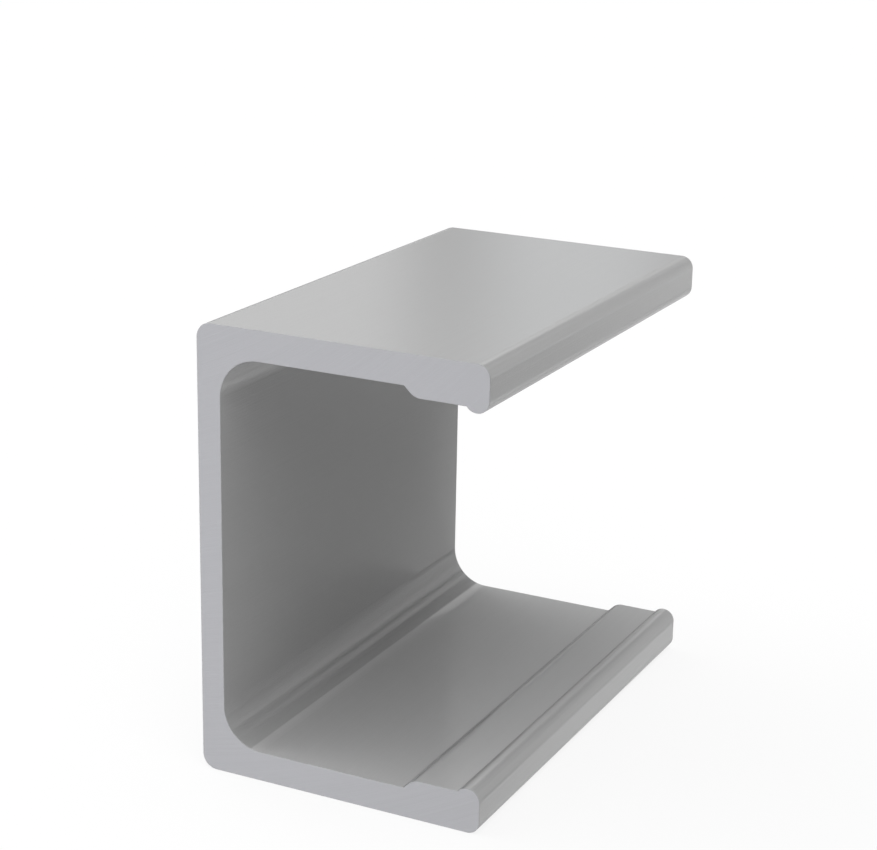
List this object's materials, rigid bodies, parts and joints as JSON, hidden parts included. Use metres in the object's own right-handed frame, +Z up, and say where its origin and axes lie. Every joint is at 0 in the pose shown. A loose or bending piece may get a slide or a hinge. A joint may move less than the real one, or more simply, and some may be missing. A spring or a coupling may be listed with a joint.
{
  "type": "metal channel section",
  "caption": "Short straight length of aluminium C-channel whose flange ends are thickened into flat raceways with a rounded bead along each lip, sawn square at the ends.",
  "frame": {"origin": "middle of the footprint, on the underside of the lower flange", "axes": "+X across the flanges, from the web's back to the open side; +Y along the length; +Z up, from the lower flange to the upper one"},
  "size_m": [0.06, 0.1, 0.09],
  "materials": {
    "aluminium": "satin, as extruded, with fine lines along the length and plain sawn ends"
  },
  "bodies": {
    "root": {"channel": "aluminium"}
  },
  "joints": []
}
